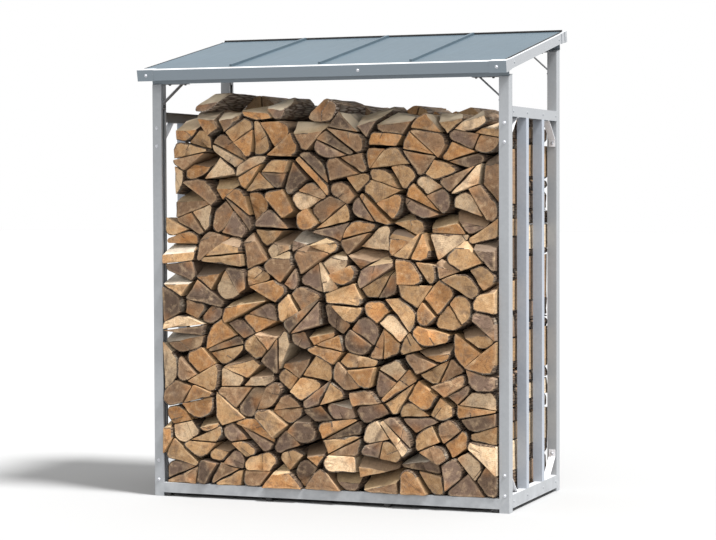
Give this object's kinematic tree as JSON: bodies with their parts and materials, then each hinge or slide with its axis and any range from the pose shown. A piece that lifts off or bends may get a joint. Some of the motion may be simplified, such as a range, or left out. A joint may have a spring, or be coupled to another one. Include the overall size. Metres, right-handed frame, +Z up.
{
  "type": "log store",
  "caption": "Free-standing folded-steel log store with a mono-pitch sheet roof on four channel posts, open front and back, stacked with split firewood.",
  "frame": {"origin": "on the ground, under the middle of the roof's width and depth", "axes": "+Z up, -Y towards the open front, +X to the right seen from the front"},
  "size_m": [1.7216, 0.9532, 2.1122],
  "materials": {
    "frame_steel": "satin grey powder coat",
    "roof_sheet": "satin blue-grey sheet",
    "foot_rubber": "matt black",
    "seal_rubber": "matt dark grey",
    "firewood": "rough split and sawn wood with bark"
  },
  "bodies": {
    "root": {"floor_bar_1": "frame_steel", "floor_bar_2": "frame_steel", "floor_joist_1": "frame_steel", "floor_joist_2": "frame_steel", "foot_pads": "foot_rubber", "front_bottom_beam": "frame_steel", "front_fascia": "frame_steel", "front_firewood_1": "firewood", "front_firewood_2": "firewood", "front_firewood_3": "firewood", "front_firewood_4": "firewood", "front_firewood_5": "firewood", "front_firewood_6": "firewood", "front_left_knee_brace": "frame_steel", "front_left_post": "frame_steel", "front_right_knee_brace": "frame_steel", "front_right_post": "frame_steel", "front_roof_corner_caps": "frame_steel", "front_top_beam": "frame_steel", "left_bottom_beam": "frame_steel", "left_side_braces": "frame_steel", "left_slat_1": "frame_steel", "left_slat_2": "frame_steel", "left_top_rail": "frame_steel", "rear_bottom_beam": "frame_steel", "rear_fascia": "frame_steel", "rear_firewood_1": "firewood", "rear_firewood_2": "firewood", "rear_firewood_3": "firewood", "rear_firewood_4": "firewood", "rear_firewood_5": "firewood", "rear_firewood_6": "firewood", "rear_left_knee_brace": "frame_steel", "rear_left_post": "frame_steel", "rear_right_knee_brace": "frame_steel", "rear_right_post": "frame_steel", "rear_roof_corner_caps": "frame_steel", "rear_top_beam": "frame_steel", "right_bottom_beam": "frame_steel", "right_side_braces": "frame_steel", "right_slat_1": "frame_steel", "right_slat_2": "frame_steel", "right_top_rail": "frame_steel", "roof_left_beam": "frame_steel", "roof_panel_1": "roof_sheet", "roof_panel_2": "roof_sheet", "roof_panel_3": "roof_sheet", "roof_panel_4": "roof_sheet", "roof_rafter_1": "frame_steel", "roof_rafter_2": "frame_steel", "roof_rafter_3": "frame_steel", "roof_rear_seal": "seal_rubber", "roof_right_beam": "frame_steel", "roof_seam_caps": "roof_sheet"}
  },
  "joints": []
}
